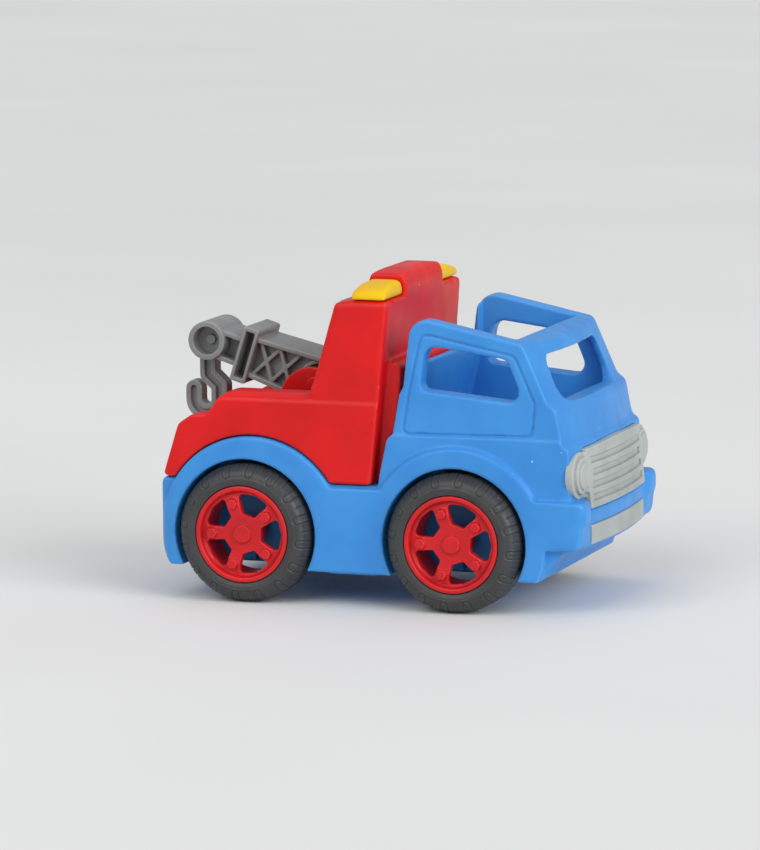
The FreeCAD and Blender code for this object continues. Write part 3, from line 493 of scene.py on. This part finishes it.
def tread_depth(around, section, radius, high):
    """How far the moulded marks move each point out (mm), by angle and place on the section."""
    y, r = section[:, 0], section[:, 1]
    pitch = 2 * math.pi / LUGS
    turn = (around - LUG_PHASE + pitch / 2) % pitch - pitch / 2
    across = turn[:, None] * r[None, :]
    between = (turn % pitch - pitch / 2)[:, None] * r[None, :]
    depth = np.zeros((len(around), len(section)))

    # A U with raised edges on the shoulder at every lug, and a short bar between each two.
    past = (r - MARK_RADIUS)[None, :]
    bowl = np.abs(np.hypot(across, past) - MARK_HALF)
    legs = np.abs(np.abs(across) - MARK_HALF)
    gap = np.where(past < 0, bowl, legs)
    shoulder = (y > high - 8)[None, :]
    depth += np.where(shoulder, ridge(gap, -0.42, 0.34) + ridge(gap - 0.75, 0.16, 0.3), 0)
    bars = (r > 31.6)[None, :] & (y > high - 15)[None, :]
    depth += np.where(bars, ridge(between, -0.35, 0.32), 0)

    # Cross grooves and two rings on the tread.
    tread = (r > radius - 0.6)[None, :] & (y < high - 8)[None, :]
    nearest = np.minimum(np.abs(across), np.abs(between))
    depth += np.where(tread, ridge(nearest, -0.35, 0.4), 0)
    for ring in (high - 8.2, high - 16.5):
        depth += (ridge(y - ring, -0.4, 0.35) * (r > radius - 1))[None, :]

    # A groove and a ridge round the wall.
    wall = (y > high - 3)[None, :]
    depth += np.where(wall, (ridge(r - 26.9, -0.22, 0.3) + ridge(r - 27.7, 0.14, 0.35))[None, :], 0)
    return depth


def make_tyre(end, side):
    """Turn a tyre's section about its axle and press the tread marks into it."""
    node = "tyre_%s_%s" % (end, side)
    low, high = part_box(node)
    hand = 1 if side == "left" else -1
    near, far = sorted((abs(low.y) / MM, abs(high.y) / MM))
    radius = (high.z - low.z) / 2 / MM
    section = tyre_section(near, far, radius, RIM_SEAT)
    step = np.roll(section, -1, 0) - np.roll(section, 1, 0)
    outward = np.stack([step[:, 1], -step[:, 0]], 1)
    outward /= np.linalg.norm(outward, axis=1)[:, None]
    middle = section.mean(0)
    if ((section - middle) * outward).sum() < 0:
        outward = -outward
    turns = 720
    around = np.arange(turns) * 2 * math.pi / turns
    depth = tread_depth(around, section, radius, far)
    y = section[None, :, 0] + depth * outward[None, :, 0]
    r = section[None, :, 1] + depth * outward[None, :, 1]
    centre = (low + high) / 2
    points = np.stack(
        [
            centre.x + r * np.cos(around)[:, None] * MM,
            hand * y * MM,
            centre.z + r * np.sin(around)[:, None] * MM,
        ],
        axis=2,
    ).reshape(-1, 3)
    count = len(section)
    i, k = np.meshgrid(np.arange(turns), np.arange(count), indexing="ij")
    here, after, beside = i * count, (i + 1) % turns * count, (k + 1) % count
    quads = np.stack([here + k, here + beside, after + beside, after + k], 2).reshape(-1, 4)
    mesh = bpy.data.meshes.new(node + "_turned")
    mesh.from_pydata(points.tolist(), [], quads.tolist())
    mark_edges(faced_outwards(mesh), 0.8 * MM)
    return mesh_piece(node + "_tread", mesh, "wheelset_" + end, "tyre_black", node)


for end in ("rear", "front"):
    for side in ("left", "right"):
        make_tyre(end, side)


# ---------------------------------------------------------------- axles, screws and pins


def make_pin_cover(side):
    """Red plastic moulded over one end of the boom's pin, a very low dome on the cheek."""
    low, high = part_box("boom_pin")
    centre = (low + high) / 2
    cheek = max(high.y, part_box("boom_bracket")[1].y) / MM
    dome = [(0.05, 0.34), (1.2, 0.33), (2.4, 0.29), (3.1, 0.2), (3.5, 0.06), (3.6, -0.2)]
    turns = 48
    points = [
        (
            centre.x + radius * MM * math.cos(turn * 2 * math.pi / turns),
            side * (cheek + rise) * MM,
            centre.z + radius * MM * math.sin(turn * 2 * math.pi / turns),
        )
        for radius, rise in dome
        for turn in range(turns)
    ]
    quads = []
    for k in range(len(dome) - 1):
        for i in range(turns):
            first, second, up = k * turns + i, k * turns + (i + 1) % turns, turns
            quads.append((first, second, second + up, first + up))
    mesh = bpy.data.meshes.new("pin_cover_%d" % (side + 1))
    mesh.from_pydata(points, [], quads + [tuple(range(turns))])
    mesh_piece("pin_cover_%d" % (side + 1), faced_outwards(mesh), "chassis", "red_plastic")


for side in (-1, 1):
    make_pin_cover(side)

for node in ("axle_rear", "axle_front", "base_screws", "body_screws", "bracket_screws"):
    nodes[node].material_slots[0].material = finishes["steel"]
for node in ("boom_pin", "hook_pin"):
    nodes[node].material_slots[0].material = finishes["boom_grey"]


# ---------------------------------------------------------------- studio


def add_floor():
    """Large sheet of pale paper under the wheels."""
    mesh = bpy.data.meshes.new("studio_floor")
    reach = 60.0
    mesh.from_pydata(
        [(-reach, -reach, 0), (reach, -reach, 0), (reach, reach, 0), (-reach, reach, 0)],
        [],
        [(0, 1, 2, 3)],
    )
    floor = bpy.data.objects.new("studio_floor", mesh)
    bpy.context.scene.collection.objects.link(floor)
    mesh.materials.append(paper_floor())


def aimed(name, light, place):
    """Put a light in place, turned towards the truck's middle."""
    lamp = bpy.data.objects.new(name, light)
    lamp.location = place
    aim = Vector((0, 0, 0.07)) - Vector(place)
    lamp.rotation_euler = aim.to_track_quat("-Z", "Y").to_euler()
    bpy.context.scene.collection.objects.link(lamp)


def add_softbox(name, place, power, width, height):
    """A soft rectangular light close to the truck, for its highlights."""
    light = bpy.data.lights.new(name, "AREA")
    light.shape = "RECTANGLE"
    light.size, light.size_y = width, height
    light.energy = power
    aimed(name, light, place)


def add_far_light(name, place, strength, spread, tint="FFFFFF"):
    """A broad far light, which leaves the floor evenly lit."""
    light = bpy.data.lights.new(name, "SUN")
    light.energy = strength
    light.angle = math.radians(spread)
    light.specular_factor = 0.2
    light.color = linear(tint)[:3]
    aimed(name, light, place)


def add_camera():
    """The camera of the photograph: turned, tipped down and very slightly rolled."""
    turn, tip, roll = math.radians(19.824), math.radians(8.529), math.radians(-0.512)
    right = Vector((math.cos(turn), math.sin(turn), 0))
    ahead = Vector((-math.sin(turn), math.cos(turn), 0))
    look = ahead * math.cos(tip) - Vector((0, 0, 1)) * math.sin(tip)
    upright = right.cross(look)
    across = right * math.cos(roll) + upright * math.sin(roll)
    above = upright * math.cos(roll) - right * math.sin(roll)
    camera = bpy.data.objects.new("camera", bpy.data.cameras.new("camera"))
    camera.matrix_world = Matrix((across, above, -look)).transposed().to_4x4()
    camera.location = (0.91645, -2.578475, 0.49270)
    camera.data.sensor_width = 36
    camera.data.lens = 235.8
    camera.data.clip_end = 30
    bpy.context.scene.collection.objects.link(camera)
    bpy.context.scene.camera = camera


def set_world(strength):
    """Even, slightly cool studio fill."""
    world = bpy.data.worlds.new("studio")
    world.use_nodes = True
    background = world.node_tree.nodes["Background"]
    background.inputs["Color"].default_value = linear("F2F4F7")
    background.inputs["Strength"].default_value = strength
    bpy.context.scene.world = world


add_floor()
add_far_light("key", (-0.5, -1.4, 1.4), 0.85, 40, "FFFCF8")
add_far_light("side", (1.7, -0.7, 0.95), 1.7, 45, "FBFDFF")
add_softbox("highlight_left", (-0.7, -1.3, 0.9), 1.4, 0.5, 0.7)
add_softbox("highlight_right", (1.3, -0.6, 0.8), 1.1, 0.5, 0.6)
add_softbox("highlight_top", (0.0, 0.2, 1.2), 1.1, 0.9, 0.5)
set_world(0.52)
add_camera()
bpy.context.scene.view_settings.view_transform = "Standard"
